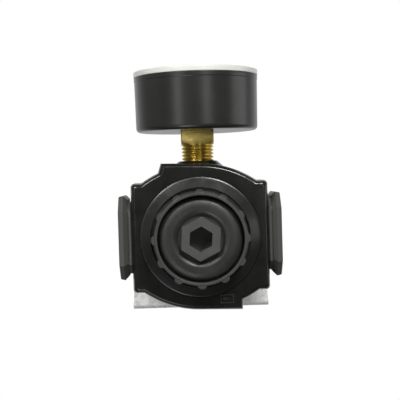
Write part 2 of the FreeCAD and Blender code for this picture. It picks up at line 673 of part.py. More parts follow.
def make_pointer():
    blade = polygon_face([(-7.5, -1.3, 63.5), (-7.5, 1.3, 63.5), (-3.0, 0.8, 63.5), (2.0, 0.95, 63.5),
                          (19.0, 0.25, 63.5), (19.0, -0.25, 63.5), (2.0, -0.95, 63.5), (-3.0, -0.8, 63.5)])
    blade = blade.extrude(vec(0, 0, 0.5))
    hub = cylinder(1.9, 63.0, 65.2).cut(cylinder(0.55, 62, 65.0))
    pointer = blade.cut(cylinder(1.0, 63, 65)).fuse(hub)
    pointer.rotate(vec(0, 0, 0), vec(0, 0, 1), 225.0)
    return pointer


def make_lens():
    inner_face = LENS_FRONT - 1.2
    return revolve([(0, inner_face), (23.3, inner_face), (23.3, 62.15), (24.25, 62.15), (24.25, CASE_FRONT),
                    (25.9, CASE_FRONT), (25.9, LENS_FRONT - 0.5), (25.4, LENS_FRONT), (0, LENS_FRONT)])


# ---- write every piece ----------------------------------------------------------------------

export("body", make_body())
export("bottom_plug", make_bottom_plug())
export("plug_o_ring", torus(16.7, 0.78, -10.4))
export("valve_poppet", make_valve_poppet())
export("valve_seal", ring(1.62, 5.58, -3.6, VALVE_SEAT_Z))
export("poppet_o_ring", torus(3.13, 0.42, -17.8))
export("valve_spring", coil(4.9, 0.45, SPRING_FLOOR, -6.2, 6.0))
export("valve_seat", make_valve_seat())
export("diaphragm", make_diaphragm())
export("diaphragm_plate", make_diaphragm_plate())
export("relief_seat", make_relief_seat())
export("bonnet", make_bonnet())
export("adjusting_spring", coil(9.0, 1.2, 14.2, 36.0, 6.0))
export("adjusting_nut", make_adjusting_nut())
export("adjusting_screw", make_adjusting_screw())
export("thrust_washer", ring(6.3, 9.0, 45.02, 46.0))
export("knob", make_knob())
export("knob_screw", make_knob_screw())
export("knob_cap", make_knob_cap())
export("panel_nut", make_panel_nut())
export("bracket", make_bracket())
export("rear_port_plug", make_rear_port_plug())
export("gauge_stem", to_front(make_gauge_stem()))
export("gauge_case", to_front(make_gauge_case()))
export("gauge_case_screws", to_front(make_case_screws()))
export("bourdon_tube", to_front(make_bourdon_tube()))
export("tube_tip", to_front(make_tube_tip()))
export("movement_back_plate", to_front(movement_plate(53.0, 54.0, 0.62, 0.62)))
export("movement_front_plate", to_front(movement_plate(58.6, 59.4, 0.62, 0.62)))
export("movement_pillars", to_front(make_pillars()))
export("pinion_arbor", to_front(make_pinion_arbor()))
export("sector_gear", to_front(make_sector_gear()))
export("link", to_front(make_link()))
ribbon_shape, stud_shape = make_hairspring()
export("hairspring", to_front(ribbon_shape))
export("hairspring_stud", to_front(stud_shape))
export("dial", to_front(make_dial()))
export("dial_stop_pin", to_front(make_stop_pin()))
export("pointer", to_front(make_pointer()))
export("lens", to_front(make_lens()))
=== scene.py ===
import json
import math

import bmesh
import bpy
from mathutils import Matrix, Vector

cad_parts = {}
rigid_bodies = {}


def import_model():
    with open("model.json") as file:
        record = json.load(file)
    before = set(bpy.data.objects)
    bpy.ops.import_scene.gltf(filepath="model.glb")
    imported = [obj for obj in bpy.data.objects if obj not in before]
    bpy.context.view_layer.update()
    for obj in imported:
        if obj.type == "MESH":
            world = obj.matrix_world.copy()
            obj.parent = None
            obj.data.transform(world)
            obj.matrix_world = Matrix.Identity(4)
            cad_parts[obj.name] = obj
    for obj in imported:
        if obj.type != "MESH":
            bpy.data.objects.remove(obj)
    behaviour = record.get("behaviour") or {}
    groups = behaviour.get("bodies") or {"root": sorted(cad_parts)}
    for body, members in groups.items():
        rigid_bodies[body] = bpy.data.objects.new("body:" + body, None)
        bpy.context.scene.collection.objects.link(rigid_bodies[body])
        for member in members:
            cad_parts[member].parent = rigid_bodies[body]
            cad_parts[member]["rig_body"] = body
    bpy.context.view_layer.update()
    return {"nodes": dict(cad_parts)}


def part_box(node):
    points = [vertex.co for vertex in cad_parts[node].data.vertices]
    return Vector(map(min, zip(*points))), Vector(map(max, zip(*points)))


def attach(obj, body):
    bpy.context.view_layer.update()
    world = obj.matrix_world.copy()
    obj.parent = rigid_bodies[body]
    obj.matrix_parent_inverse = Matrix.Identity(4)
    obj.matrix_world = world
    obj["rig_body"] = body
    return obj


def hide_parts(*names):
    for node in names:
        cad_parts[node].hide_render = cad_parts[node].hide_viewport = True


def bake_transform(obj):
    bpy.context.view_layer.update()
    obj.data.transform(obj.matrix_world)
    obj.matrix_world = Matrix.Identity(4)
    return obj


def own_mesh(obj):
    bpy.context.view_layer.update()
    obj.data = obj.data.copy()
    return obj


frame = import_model()
nodes = frame["nodes"]
MM = 0.001

# ---- places read from the frame, in metres -------------------------------------------------------

plug_low, plug_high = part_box("bottom_plug")
AXIS_X = (plug_low.x + plug_high.x) / 2
AXIS_Y = (plug_low.y + plug_high.y) / 2
case_low, case_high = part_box("gauge_case")
GAUGE_Z = (case_low.z + case_high.z) / 2
CENTRE = Vector((AXIS_X, AXIS_Y, GAUGE_Z))


def on_gauge(x, up, forward):
    """A point given across, up and forward from the valve axis, along the gauge's own axis, in mm."""
    return Vector((AXIS_X + x * MM, AXIS_Y - forward * MM, GAUGE_Z + up * MM))


# ---- sizes, in mm --------------------------------------------------------------------------------

# Body: the lower face's depth under the gauge axis, and where each flange's rough skin starts
BODY_FACE_Z = GAUGE_Z - 17.0 * MM
ROUGH_SKIN = (27.9, 28.3)
RAISED_MARKS = (0.1, 0.3)

# Bottom plug: the radii over which its finish changes
HEXAGON_EDGE = (8.6, 8.9)
COLLAR_EDGE = (16.85, 17.0)
SKIRT_EDGE = (18.6, 19.8)

# Diaphragm, with heights above the ledge that clamps it
DIAPHRAGM_SECTORS = 12
DIAPHRAGM_THICK = 1.2
DIAPHRAGM_HOLE = 3.15
DIAPHRAGM_RIM = 22.6
FOLD_RADIUS = 16.9

# Gauge stem: the quarter-inch taper thread, measured forward from the valve axis
THREAD_START = 20.0
BLOCK_BACK = 37.7
CREST = 6.85
PITCH = 1.411
TAPER = 0.03125
THREAD_DEPTH = 0.86

# Gauge case and lens, measured forward from the valve axis
CASE_BACK = 43.1
CASE_FRONT = 65.7
CASE_WALL = 1.5
STEM_HOLE = 6.9
CASE_BORE = 23.2
LENS_SEAT = 61.6
LENS_BORE = 24.3
LENS_FRONT = 68.0
LENS_INSIDE = 66.8
LENS_RADIUS = 25.9
LENS_RIM_EDGE = (24.0, 25.2)

# Dial, with its angles anticlockwise from the right
DIAL_FACE = 62.1
ZERO_ANGLE = 225.0
SPAN = 270.0
FULL_SCALE = 10
TICKS = 50
TICKS_A_NUMBER = 5
LONG_TICK = (17.6, 0.28)
SHORT_TICK = (18.7, 0.12)
SCALE_RING = (20.4, 20.75)
NUMBER_RADIUS = 14.2
NUMBER_SIZE = 4.4

# Camera: its lens and how far off it stands, then how its axis leans from the valve axis
LENS_LENGTH = 81.45
SENSOR = 36.0
DISTANCE = 380.0
AIM_DOWN = 14.4
ROLL = math.radians(1.7)
LEAN_ACROSS = math.radians(-0.76)
LEAN_UP = math.radians(1.456)

# Stage, in metres: the floor's depth under the gauge axis, and the room's brightness
FLOOR_DEPTH = 0.62
ROOM = 0.06
BACKDROP = 0.9

# Lights: name, offset from the centre in metres, width, height and power in watts
LIGHTS = (
    ("left_key_softbox", (-0.34, -0.48, -0.54), 0.22, 0.22, 3.8),
    ("right_key_softbox", (0.20, -0.50, -0.58), 0.22, 0.22, 7.2),
    ("lower_softbox", (-0.22, 0.42, -0.52), 0.30, 0.30, 1.25),
    ("left_streak", (-0.36, -0.07, -0.54), 0.14, 0.14, 0.22),
    ("right_streak", (0.20, -0.07, -0.60), 0.14, 0.14, 0.20),
    ("left_softbox", (-0.7, -0.10, -0.05), 0.25, 0.45, 0.08),
    ("right_softbox", (0.7, -0.05, -0.05), 0.25, 0.45, 0.6),
)

# ---- materials -----------------------------------------------------------------------------------

class Shade:
    """A principled material with object-space coordinates and a few shorthand nodes."""

    def __init__(self, name, color, rough, metal=0.0, specular=0.5):
        self.mat = bpy.data.materials.new(name)
        self.mat.use_nodes = True
        self.tree = self.mat.node_tree
        self.shader = self.tree.nodes["Principled BSDF"]
        self.set("Base Color", (*color, 1.0))
        self.set("Roughness", rough)
        self.set("Metallic", metal)
        self.set("Specular IOR Level", specular)
        self.coords = self.node("ShaderNodeTexCoord").outputs["Object"]
        self.normal = None

    def node(self, kind, **settings):
        made = self.tree.nodes.new(kind)
        for key, value in settings.items():
            setattr(made, key, value)
        return made

    def link(self, source, target):
        self.tree.links.new(source, target)

    def set(self, socket, value):
        self.shader.inputs[socket].default_value = value

    def noise(self, scale, detail=4.0, rough=0.55, stretch=(1, 1, 1)):
        mapping = self.node("ShaderNodeMapping")
        mapping.inputs["Scale"].default_value = stretch
        self.link(self.coords, mapping.inputs["Vector"])
        made = self.node("ShaderNodeTexNoise")
        made.inputs["Scale"].default_value = scale
        made.inputs["Detail"].default_value = detail
        made.inputs["Roughness"].default_value = rough
        self.link(mapping.outputs["Vector"], made.inputs["Vector"])
        return made.outputs["Fac"]

    def cells(self, scale):
        """The brightness of each cell of a cell pattern."""
        made = self.node("ShaderNodeTexVoronoi", feature="F1")
        made.inputs["Scale"].default_value = scale
        self.link(self.coords, made.inputs["Vector"])
        grey = self.node("ShaderNodeRGBToBW")
        self.link(made.outputs["Color"], grey.inputs["Color"])
        return grey.outputs["Val"]

    def place(self):
        """The X, Y and Z of each point, in metres."""
        made = self.node("ShaderNodeSeparateXYZ")
        self.link(self.coords, made.inputs["Vector"])
        return made.outputs

    def radius(self, axes):
        """How far each point lies from the centre, across the two named axes, in metres."""
        place = self.place()
        flat = self.node("ShaderNodeCombineXYZ")
        for axis in axes:
            self.link(place[axis], flat.inputs[axis])
        made = self.node("ShaderNodeVectorMath", operation="DISTANCE")
        self.link(flat.outputs["Vector"], made.inputs[0])
        made.inputs[1].default_value = [CENTRE[i] if axis in axes else 0.0 for i, axis in enumerate("XYZ")]
        return made.outputs["Value"]

    def maths(self, operation, *sources):
        made = self.node("ShaderNodeMath", operation=operation)
        for i, source in enumerate(sources):
            self.link(source, made.inputs[i])
        return made.outputs["Value"]

    def spread(self, source, low, high, start=0.3, end=0.7):
        """Maps a value from start to end onto low to high, and holds it at the ends."""
        made = self.node("ShaderNodeMapRange")
        made.inputs["From Min"].default_value = start
        made.inputs["From Max"].default_value = end
        made.inputs["To Min"].default_value = low
        made.inputs["To Max"].default_value = high
        self.link(source, made.inputs["Value"])
        return made.outputs["Result"]

    def over(self, source, band, low=0, high=1):
        """Goes from low to high as a place in metres crosses a band given in mm."""
        return self.spread(source, low, high, band[0] * MM, band[1] * MM)

    def mix(self, share, first, second):
        """Blends two colours by a value."""
        made = self.node("ShaderNodeMix", data_type="RGBA")
        self.link(share, made.inputs["Factor"])
        for socket, color in (("A", first), ("B", second)):
            target = [i for i in made.inputs if i.name == socket and i.type == "RGBA"][0]
            if isinstance(color, tuple):
                target.default_value = (*color, 1.0)
            else:
                self.link(color, target)
        return [o for o in made.outputs if o.type == "RGBA"][0]

    def clouds(self, scale, detail, first, second, rough=0.55):
        """Two colours that drift into each other."""
        return self.mix(self.spread(self.noise(scale, detail, rough), 0, 1), first, second)

    def color(self, source):
        self.link(source, self.shader.inputs["Base Color"])

    def rough(self, source):
        self.link(source, self.shader.inputs["Roughness"])

    def uneven(self, scale, detail, low, high, rough=0.55):
        """A roughness that drifts between two values."""
        self.rough(self.spread(self.noise(scale, detail, rough), low, high))

    def bump(self, source, height, strength=1.0):
        """Adds one more layer of bump; height is in metres."""
        made = self.node("ShaderNodeBump")
        made.inputs["Strength"].default_value = strength
        made.inputs["Distance"].default_value = height
        self.link(source, made.inputs["Height"])
        if self.normal:
            self.link(self.normal, made.inputs["Normal"])
        self.normal = made.outputs["Normal"]
        self.link(self.normal, self.shader.inputs["Normal"])

    def mould_grain(self, scale=2200):
        """The mould's fine grain, and faint scuffs over it."""
        self.bump(self.noise(scale, 2), 0.000012, 0.35)
        scuffs = self.noise(500, 8, 0.75, (1.0, 0.12, 1.0))
        self.bump(self.spread(scuffs, 0, 1, 0.55, 0.75), 0.000006, 0.3)


def casting_paint():
    s = Shade("black_casting_paint", (0.010, 0.010, 0.0095), 0.45, specular=0.4)
    place = s.place()
    smooth_skin = s.clouds(120, 5, (0.0075, 0.0075, 0.0064), (0.0125, 0.0123, 0.0108))
    # The flanges and their necks are painted paler and greyer, and made rougher, than the smooth painted
    # faces
    side = s.over(s.maths("ABSOLUTE", place["X"]), ROUGH_SKIN)
    skin = s.mix(side, smooth_skin, (0.056, 0.056, 0.052))
    # The raised arrow and its frame are painted paler than the face around them: a painted highlight where
    # their raised edges catch the light
    shallow, deep = RAISED_MARKS
    painted_highlight = s.spread(place["Z"], 1, 0, BODY_FACE_Z - deep * MM, BODY_FACE_Z - shallow * MM)
    s.color(s.mix(painted_highlight, skin, (0.028, 0.028, 0.0265)))
    s.rough(s.maths("ADD", s.spread(s.noise(260, 6), 0.18, 0.26), s.spread(side, 0, 0.2, 0, 1)))
    s.bump(s.noise(1500, 3), 0.00001, 0.25)
    s.bump(s.noise(420, 2), 0.00002, 0.15)
    return s.mat


def moulding(name, dark, light, rough, grain=2200, unevenness=0.075):
    s = Shade(name, dark, rough)
    s.color(s.clouds(90, 4, dark, light))
    s.uneven(200, 6, rough - unevenness, rough + unevenness, 0.6)
    s.mould_grain(grain)
    return s.mat


def plug_moulding():
    """Glossier and darker on the outer skirt, and painted paler on the collar rim and the hexagon, a painted
    sheen on these flat faces.
    """
    s = Shade("plug_moulding", (0.02, 0.02, 0.0195), 0.40)
    radius = s.radius("XY")
    skirt = s.over(radius, SKIRT_EDGE)
    middle = s.clouds(90, 4, (0.0125, 0.0125, 0.0118), (0.0185, 0.0185, 0.0175))
    # Painted sheen: the collar rim and the hexagon's flat faces are painted paler than the dome
    collar = s.mix(s.over(radius, COLLAR_EDGE), middle, (0.036, 0.036, 0.0345))
    painted_sheen = s.mix(s.over(radius, HEXAGON_EDGE, 1, 0), collar, (0.050, 0.050, 0.048))
    s.color(s.mix(skirt, painted_sheen, (0.012, 0.012, 0.0112)))
    grade = s.spread(s.noise(200, 6, 0.6), 0.34, 0.48)
    s.rough(s.maths("SUBTRACT", grade, s.spread(skirt, 0, 0.07, 0, 1)))
    s.mould_grain()
    return s.mat


def rubber():
    s = Shade("black_rubber_finish", (0.016, 0.016, 0.016), 0.75, specular=0.3)
    s.uneven(900, 4, 0.65, 0.85)
    s.bump(s.noise(2600, 2), 0.00001, 0.4)
    return s.mat


def brass(name, deep, bright, rough, turned=True, milled=False):
    s = Shade(name, bright, rough, metal=1.0)
    s.color(s.clouds(330, 6, deep, bright, 0.65))
    grain = s.spread(s.noise(700, 5), rough - 0.05, rough + 0.08)
    if milled:
        # The wrench flats ahead of the thread are milled, and duller than the cut thread
        y = s.place()["Y"]
        edge = AXIS_Y - BLOCK_BACK * MM
        start = edge - 0.4 * MM
        grain = s.maths("ADD", grain, s.spread(y, 0.24, 0, start, edge))
        s.link(s.spread(y, 0.82, 1, start, edge), s.shader.inputs["Metallic"])
    s.rough(grain)
    if turned:
        s.bump(s.noise(500, 2, 0.5, (0.15, 4.0, 0.15)), 0.000002, 0.12)
    s.bump(s.noise(1400, 2), 0.000001, 0.1)
    return s.mat


def plated_steel():
    s = Shade("zinc_plated_steel", (0.55, 0.55, 0.53), 0.32, metal=1.0)
    s.color(s.clouds(240, 5, (0.47, 0.47, 0.45), (0.62, 0.62, 0.6)))
    s.uneven(900, 5, 0.25, 0.42)
    s.bump(s.noise(1500, 3), 0.000006, 0.3)
    return s.mat


def spring_wire():
    s = Shade("drawn_spring_wire", (0.36, 0.36, 0.37), 0.3, metal=1.0)
    s.color(s.clouds(600, 3, (0.3, 0.3, 0.31), (0.42, 0.42, 0.43)))
    s.uneven(1200, 5, 0.22, 0.4)
    return s.mat


def galvanised():
    s = Shade("galvanised_sheet", (0.6, 0.6, 0.59), 0.45, metal=0.15)
    spangle = s.cells(460)
    flakes = s.mix(s.spread(spangle, 0, 1, 0.2, 0.8), (0.58, 0.59, 0.57), (0.95, 0.95, 0.93))
    cloud = s.spread(s.noise(420, 8, 0.8), 0, 0.75, 0.38, 0.62)
    s.color(s.mix(cloud, flakes, (1.0, 1.0, 0.98)))
    s.uneven(300, 6, 0.36, 0.62)
    s.bump(s.noise(900, 5), 0.00001, 0.5)
    s.bump(spangle, 0.000004, 0.4)
    return s.mat


def aluminium():
    s = Shade("turned_aluminium", (0.66, 0.66, 0.67), 0.34, metal=1.0)
    s.color(s.clouds(300, 4, (0.6, 0.6, 0.61), (0.7, 0.7, 0.71)))
    s.uneven(800, 4, 0.28, 0.42)
    return s.mat


def lens_plastic():
    """Clear over the dial, and frosted round the rim that snaps into the case."""
    s = Shade("clear_lens_plastic", (0.66, 0.66, 0.62), 0.06)
    s.set("IOR", 1.49)
    rim = s.over(s.radius("XZ"), LENS_RIM_EDGE)
    s.link(s.spread(rim, 1.0, 0.12, 0, 1), s.shader.inputs["Transmission Weight"])
    s.rough(s.spread(rim, 0.05, 0.32, 0, 1))
    s.bump(s.noise(900, 3), 0.000006, 0.3)
    return s.mat


def dial_paint():
    s = Shade("printed_dial_white", (0.86, 0.86, 0.84), 0.42)
    s.color(s.clouds(150, 4, (0.83, 0.83, 0.81), (0.88, 0.88, 0.86)))
    s.uneven(900, 3, 0.36, 0.5)
    return s.mat


def ink(name, color):
    s = Shade(name, color, 0.5)
    s.color(s.clouds(700, 3, color, tuple(c * 1.4 + 0.002 for c in color)))
    s.uneven(1400, 3, 0.42, 0.6)
    return s.mat


PAINT = casting_paint()
PLUG_PLASTIC = plug_moulding()
BONNET_PLASTIC = moulding("bonnet_moulding", (0.016, 0.016, 0.0155), (0.024, 0.024, 0.023), 0.46)
CASE_PLASTIC = moulding("gauge_case_moulding", (0.014, 0.014, 0.0135), (0.018, 0.018, 0.017), 0.30,
                        grain=3000, unevenness=0.02)
RUBBER = rubber()
BRASS = brass("turned_brass", (0.72, 0.52, 0.12), (0.84, 0.64, 0.18), 0.30)
STEM_BRASS = brass("gauge_stem_brass", (0.74, 0.56, 0.14), (0.88, 0.70, 0.24), 0.30, milled=True)
MOVEMENT_BRASS = brass("milled_brass", (0.6, 0.42, 0.16), (0.74, 0.55, 0.25), 0.3, turned=False)
BRONZE = brass("bronze_tube_finish", (0.5, 0.28, 0.12), (0.66, 0.4, 0.2), 0.32, turned=False)
STEEL = plated_steel()
WIRE = spring_wire()
GALVANISED = galvanised()
ALUMINIUM = aluminium()
LENS = lens_plastic()
DIAL_WHITE = dial_paint()
BLACK_INK = ink("dial_black_ink", (0.012, 0.012, 0.012))
POINTER_BLACK = ink("pointer_enamel", (0.01, 0.01, 0.01))


# ---- mesh helpers --------------------------------------------------------------------------------

def piece(name, mesh, material, body, replaced=()):
    """A finished object that rides on a body; with no body, it is left on none."""
    made = bpy.data.objects.new(name, mesh)
    bpy.context.scene.collection.objects.link(made)
    mesh.materials.clear()
    mesh.materials.append(material)
    if replaced:
        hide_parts(*replaced)
    if body:
        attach(made, body)
    return made


def smooth(mesh, angle=32):
    mesh.shade_smooth()
    mesh.set_sharp_from_angle(angle=math.radians(angle))


def to_mesh(work, name):
    mesh = bpy.data.meshes.new(name)
    work.to_mesh(mesh)
    work.free()
    return mesh


def welded(node):
    """An editable copy of a CAD node, its split faces joined and its flat faces made whole."""
    work = bmesh.new()
    work.from_mesh(nodes[node].data)
    bmesh.ops.remove_doubles(work, verts=work.verts, dist=0.002 * MM)
    bmesh.ops.dissolve_limit(work, angle_limit=math.radians(0.6), verts=work.verts, edges=work.edges)
    return work


def bake(made):
    """Applies an object's modifiers to its mesh."""
    ready = made.evaluated_get(bpy.context.evaluated_depsgraph_get())
    mesh = bpy.data.meshes.new_from_object(ready)
    made.modifiers.clear()
    made.data = mesh


def finished(node, material, edge=0.25, angle=38, segments=3):
    """Stands for a CAD node with its edges rounded over; edge is in mm."""
    mesh = to_mesh(welded(node), node + "_mesh")
    smooth(mesh)
    made = piece(node + "_finished", mesh, material, nodes[node]["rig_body"], (node,))
    rounding = made.modifiers.new("edge_rounding", "BEVEL")
    rounding.width = edge * MM
    rounding.segments = segments
    rounding.limit_method = "ANGLE"
    rounding.angle_limit = math.radians(angle)
    rounding.use_clamp_overlap = True
    level = made.modifiers.new("flat_face_normals", "WEIGHTED_NORMAL")
    level.mode = "FACE_AREA"
    level.weight = 90
    level.keep_sharp = True
    bake(made)


def repaint(node, material):
    """Gives a CAD node a better material and leaves its shape alone."""
    target = nodes[node]
    target.data.materials.clear()
    target.data.materials.append(material)


def grid_mesh(name, rows):
    """A mesh from rings of points; each ring closes on itself, and the first and last are capped."""
    work = bmesh.new()
    rings = [[work.verts.new(p) for p in row] for row in rows]
    count = len(rows[0])
    for lower, upper in zip(rings, rings[1:]):
        for i in range(count):
            j = (i + 1) % count
            work.faces.new((lower[i], lower[j], upper[j], upper[i]))
    work.faces.new(rings[0][::-1])
    work.faces.new(rings[-1])
    bmesh.ops.recalc_face_normals(work, faces=work.faces)
    return to_mesh(work, name)


def fillet(points, radii, steps):
    """Rounds the corners of a closed profile, with one radius for each point."""
    out = []
    for i, corner in enumerate(points):
        here = Vector(corner)
        back = Vector(points[i - 1]) - here
        ahead = Vector(points[(i + 1) % len(points)]) - here
        reach = min(radii[i], back.length * 0.45, ahead.length * 0.45)
        if reach <= 1e-6:
            out.append(tuple(here))
            continue
        start = here + back.normalized() * reach
        end = here + ahead.normalized() * reach
        for k in range(steps + 1):
            t = k / steps
            out.append(tuple(start * (1 - t) ** 2 + here * 2 * t * (1 - t) + end * t ** 2))
    return out


def lathe(name, profile, segments=192):
    """Turns a closed profile of radius and forward distance, in mm, round the gauge's axis."""
    work = bmesh.new()
    columns = []
    for i in range(segments):
        angle = 2 * math.pi * i / segments
        c, s = math.cos(angle), math.sin(angle)
        columns.append([None if r < 1e-6 else work.verts.new(on_gauge(r * c, r * s, h)) for r, h in profile])
    centres = {k: work.verts.new(on_gauge(0, 0, h)) for k, (r, h) in enumerate(profile) if r < 1e-6}
    for i in range(segments):
        here = columns[i]
        there = columns[(i + 1) % segments]
        for k in range(len(profile)):
            n = (k + 1) % len(profile)
            corners = []
            for vert in (here[k] or centres[k], there[k] or centres[k],
                         there[n] or centres[n], here[n] or centres[n]):
                if vert not in corners:
                    corners.append(vert)
            if len(corners) > 2:
                work.faces.new(corners)
    bmesh.ops.recalc_face_normals(work, faces=work.faces)
    mesh = to_mesh(work, name)
    smooth(mesh)
    return mesh


def spring_mesh(name, node, wire, turns):
    """A round-wire coil with closed, ground ends, as tall as the CAD spring; wire is its radius in mm."""
    low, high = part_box(node)
    centre = Vector(((low.x + high.x) / 2, (low.y + high.y) / 2, 0))
    mean = min(high.x - low.x, high.y - low.y) / 2 - wire * MM
    floor_z = low.z + wire * MM * 0.6
    roof_z = high.z - wire * MM * 0.6
    steps = int(turns * 48)
    sides = 14
    rows = []
    for i in range(steps + 1):
        turn = turns * i / steps
        # The first and last half turns lie flat
        rise = min(1.0, max(0.0, (turn - 0.5) / (turns - 1.0)))
        z = floor_z + (roof_z - floor_z) * rise
        out = Vector((math.cos(2 * math.pi * turn), math.sin(2 * math.pi * turn), 0))
        row = []
        for k in range(sides):
            a = 2 * math.pi * k / sides
            point = centre + out * (mean + wire * MM * math.cos(a))
            height = min(high.z, max(low.z, z + wire * MM * math.sin(a)))
            row.append(Vector((point.x, point.y, height)))
        rows.append(row)
    mesh = grid_mesh(name, rows)
    smooth(mesh, 50)
    return mesh


# ---- regulator -----------------------------------------------------------------------------------

finished("body", PAINT, 0.3)
finished("bottom_plug", PLUG_PLASTIC, 0.14, 34)
finished("bonnet", BONNET_PLASTIC, 0.15, 50, 2)
finished("knob", BONNET_PLASTIC, 0.2, 50, 2)
finished("knob_cap", BONNET_PLASTIC, 0.2)
finished("panel_nut", BONNET_PLASTIC, 0.25)
finished("bracket", GALVANISED, 0.2)
finished("rear_port_plug", STEEL, 0.15)
finished("gauge_case_screws", STEEL, 0.08)

for name in ("plug_o_ring", "valve_seal", "poppet_o_ring"):
    repaint(name, RUBBER)


def diaphragm_profile():
    """Radius and height, in mm: a flat disc with one rolled fold near its clamped rim."""
    thick = DIAPHRAGM_THICK
    arc = [math.pi * i / 12 for i in range(13)]
    flat = [14.0, 8.0, DIAPHRAGM_HOLE]
    under = [(DIAPHRAGM_RIM, 0), (20.5, 0), (18.6, 0)]
    under += [(FOLD_RADIUS + 1.1 * math.cos(a), 1.3 * math.sin(a)) for a in arc]
    under += [(radius, 0) for radius in flat]
    over = [(radius, thick) for radius in reversed(flat)]
    over += [(FOLD_RADIUS - 1.9 * math.cos(a), thick + 1.5 * math.sin(a)) for a in arc]
    return under + over + [(20.5, thick), (DIAPHRAGM_RIM, thick)]


def diaphragm_sector(index):
    """One slice of the rubber disc, with a rolled fold near its rim; it rides on no body."""
    low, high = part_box("diaphragm")
    half = math.pi / DIAPHRAGM_SECTORS
    middle = 2 * half * index
    rows = []
    for step in range(7):
        angle = middle - half + 2 * half * step / 6
        rows.append([Vector((AXIS_X + r * MM * math.cos(angle), AXIS_Y + r * MM * math.sin(angle),
                             low.z + h * MM)) for r, h in diaphragm_profile()])
    name = "diaphragm_sector_%02d" % index
    mesh = grid_mesh(name + "_mesh", rows)
    smooth(mesh, 40)
    made = piece(name, mesh, RUBBER, None, ("diaphragm",))
    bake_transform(made)


for index in range(DIAPHRAGM_SECTORS):
    diaphragm_sector(index)

for name in ("valve_poppet", "valve_seat", "relief_seat", "adjusting_nut"):
    repaint(name, BRASS)
for name in ("adjusting_screw", "thrust_washer", "knob_screw", "dial_stop_pin"):
    repaint(name, STEEL)
repaint("diaphragm_plate", ALUMINIUM)

# Each spring's wire radius and turns, then the joint that shortens it and by how much, in mm
for name, wire, turns, joint, travel in (("adjusting_spring", 1.2, 7.5, "nut_travel", 7.5),
                                         ("valve_spring", 0.45, 7.0, "valve_stroke", 1.5)):
    mesh = spring_mesh(name + "_mesh", name, wire, turns)
    coil = piece(name + "_coil", mesh, WIRE, nodes[name]["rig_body"], (name,))
    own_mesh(coil)

# ---- gauge ---------------------------------------------------------------------------------------

def stem_mesh():
    """The CAD stem ahead of its thread, joined to a real helical taper thread."""
    work = welded("gauge_stem")
    cut = on_gauge(0, 0, BLOCK_BACK + 0.01)
    everything = work.verts[:] + work.edges[:] + work.faces[:]
    bmesh.ops.bisect_plane(work, geom=everything, plane_co=cut, plane_no=(0, 1, 0), clear_outer=True)
    rows = []
    length = BLOCK_BACK - THREAD_START
    steps = int(length / 0.07)
    sides = 120
    for i in range(steps + 1):
        forward = THREAD_START + length * i / steps
        run_out = max(0.0, min(1.0, (BLOCK_BACK - forward) / 0.5, (forward - THREAD_START) / 0.4))
        crest = CREST - TAPER * (BLOCK_BACK - forward)
        row = []
        for k in range(sides):
            share = (forward / PITCH + k / sides) % 1.0
            flank = abs(share - 0.5) * 2
            groove = min(1.0, max(0.0, 1.14 - flank * 1.28))
            radius = crest - THREAD_DEPTH * groove * run_out
            angle = 2 * math.pi * k / sides
            row.append(on_gauge(radius * math.cos(angle), radius * math.sin(angle), forward))
        rows.append(row)
    work.from_mesh(grid_mesh("pipe_thread", rows))
    mesh = to_mesh(work, "gauge_stem_mesh")
    smooth(mesh, 40)
    return mesh


def case_mesh():
    """The tapered case with a bead at its mouth, and its bore with a seat for the lens."""
    floor_inside = CASE_BACK + CASE_WALL
    corners = [(STEM_HOLE, CASE_BACK), (25.28, CASE_BACK), (25.6, 63.7), (25.72, 63.9), (25.74, CASE_FRONT),
               (LENS_BORE, CASE_FRONT), (LENS_BORE, LENS_SEAT), (CASE_BORE, LENS_SEAT),
               (CASE_BORE, floor_inside), (STEM_HOLE, floor_inside)]
    radii = [0.3, 1.9, 0.1, 0.1, 0.25, 0.2, 0.1, 0.2, 1.4, 0.1]
    return lathe("gauge_case_mesh", fillet(corners, radii, 8))


def lens_mesh():
    """A flat window with a skirt that snaps into the case, and a rim that covers the case's mouth."""
    corners = [(0, LENS_INSIDE), (23.3, LENS_INSIDE), (23.3, 62.15), (24.25, 62.15), (24.25, CASE_FRONT),
               (25.85, CASE_FRONT), (LENS_RADIUS, LENS_FRONT), (0, LENS_FRONT)]
    radii = [0, 0.5, 0.3, 0.2, 0.1, 0.25, 0.55, 0]
    return lathe("lens_mesh", fillet(corners, radii, 6))


for node, name, mesh, material, slot in (
        ("gauge_stem", "gauge_stem_threaded", stem_mesh(), STEM_BRASS, "brass"),
        ("gauge_case", "gauge_case_moulded", case_mesh(), CASE_PLASTIC, "black_gauge_case"),
        ("lens", "lens_moulded", lens_mesh(), LENS, "clear_lens")):
    piece(name, mesh, material, nodes[node]["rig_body"], (node,))

for name in ("tube_tip", "movement_back_plate", "movement_front_plate", "movement_pillars", "pinion_arbor",
             "sector_gear", "link", "hairspring_stud"):
    repaint(name, MOVEMENT_BRASS)
for name in ("bourdon_tube", "hairspring"):
    repaint(name, BRONZE)
repaint("dial", DIAL_WHITE)
repaint("pointer", POINTER_BLACK)


def scale_angle(share):
    """The angle at a share of the scale, from zero to full."""
    return math.radians(ZERO_ANGLE - SPAN * share)


